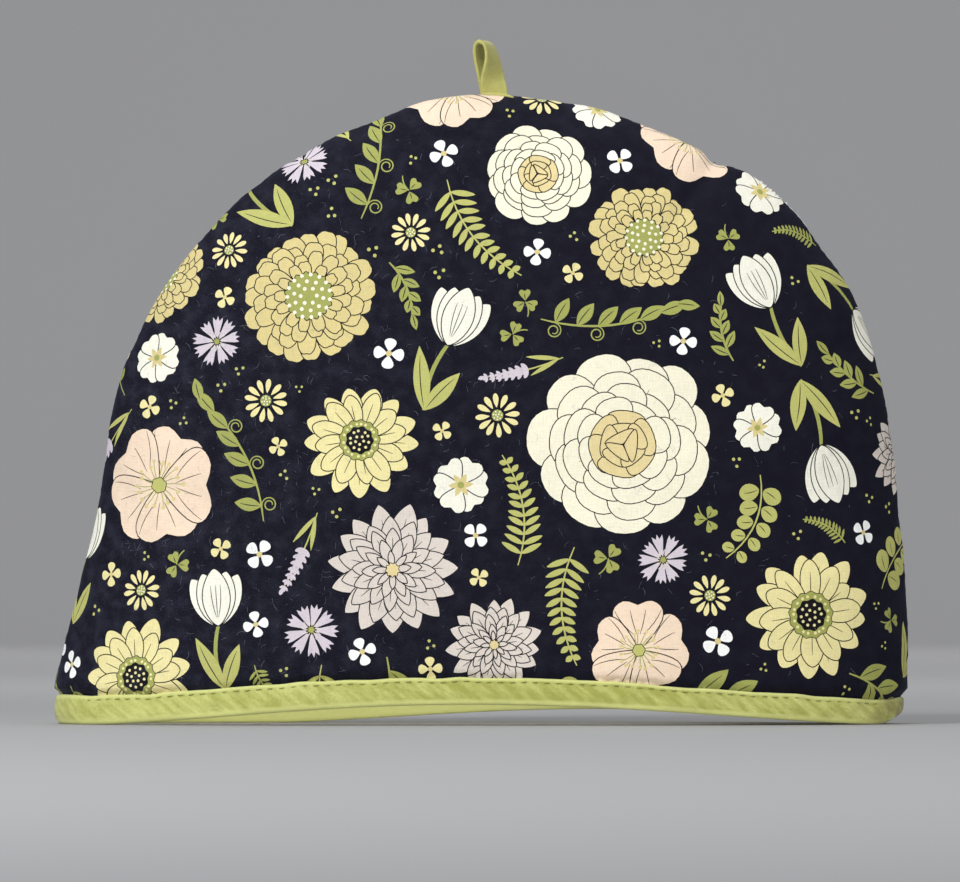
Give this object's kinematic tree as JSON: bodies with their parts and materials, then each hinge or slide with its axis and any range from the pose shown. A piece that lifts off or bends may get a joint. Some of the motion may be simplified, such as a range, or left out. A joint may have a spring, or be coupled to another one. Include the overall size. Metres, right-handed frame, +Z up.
{
  "type": "tea cosy",
  "caption": "Padded dome-shaped tea cosy in printed cotton, open underneath, with a bias-bound hem and a small hanging loop at the top.",
  "frame": {"origin": "on the floor, under the middle of the hem", "axes": "+X to the right as seen from the front, along the hem's length; the front panel faces -Y and the back panel +Y; +Z up through the loop"},
  "size_m": [0.3423, 0.0998, 0.2758],
  "materials": {
    "cotton_print_front": "matt woven cotton with a floral print",
    "cotton_print_back": "matt woven cotton with a floral print",
    "bias_binding": "matt plain cotton",
    "loop_cotton": "matt plain cotton"
  },
  "bodies": {
    "root": {"front_panel": "cotton_print_front", "back_panel": "cotton_print_back", "hem_binding": "bias_binding", "hanging_loop": "loop_cotton"}
  },
  "joints": []
}
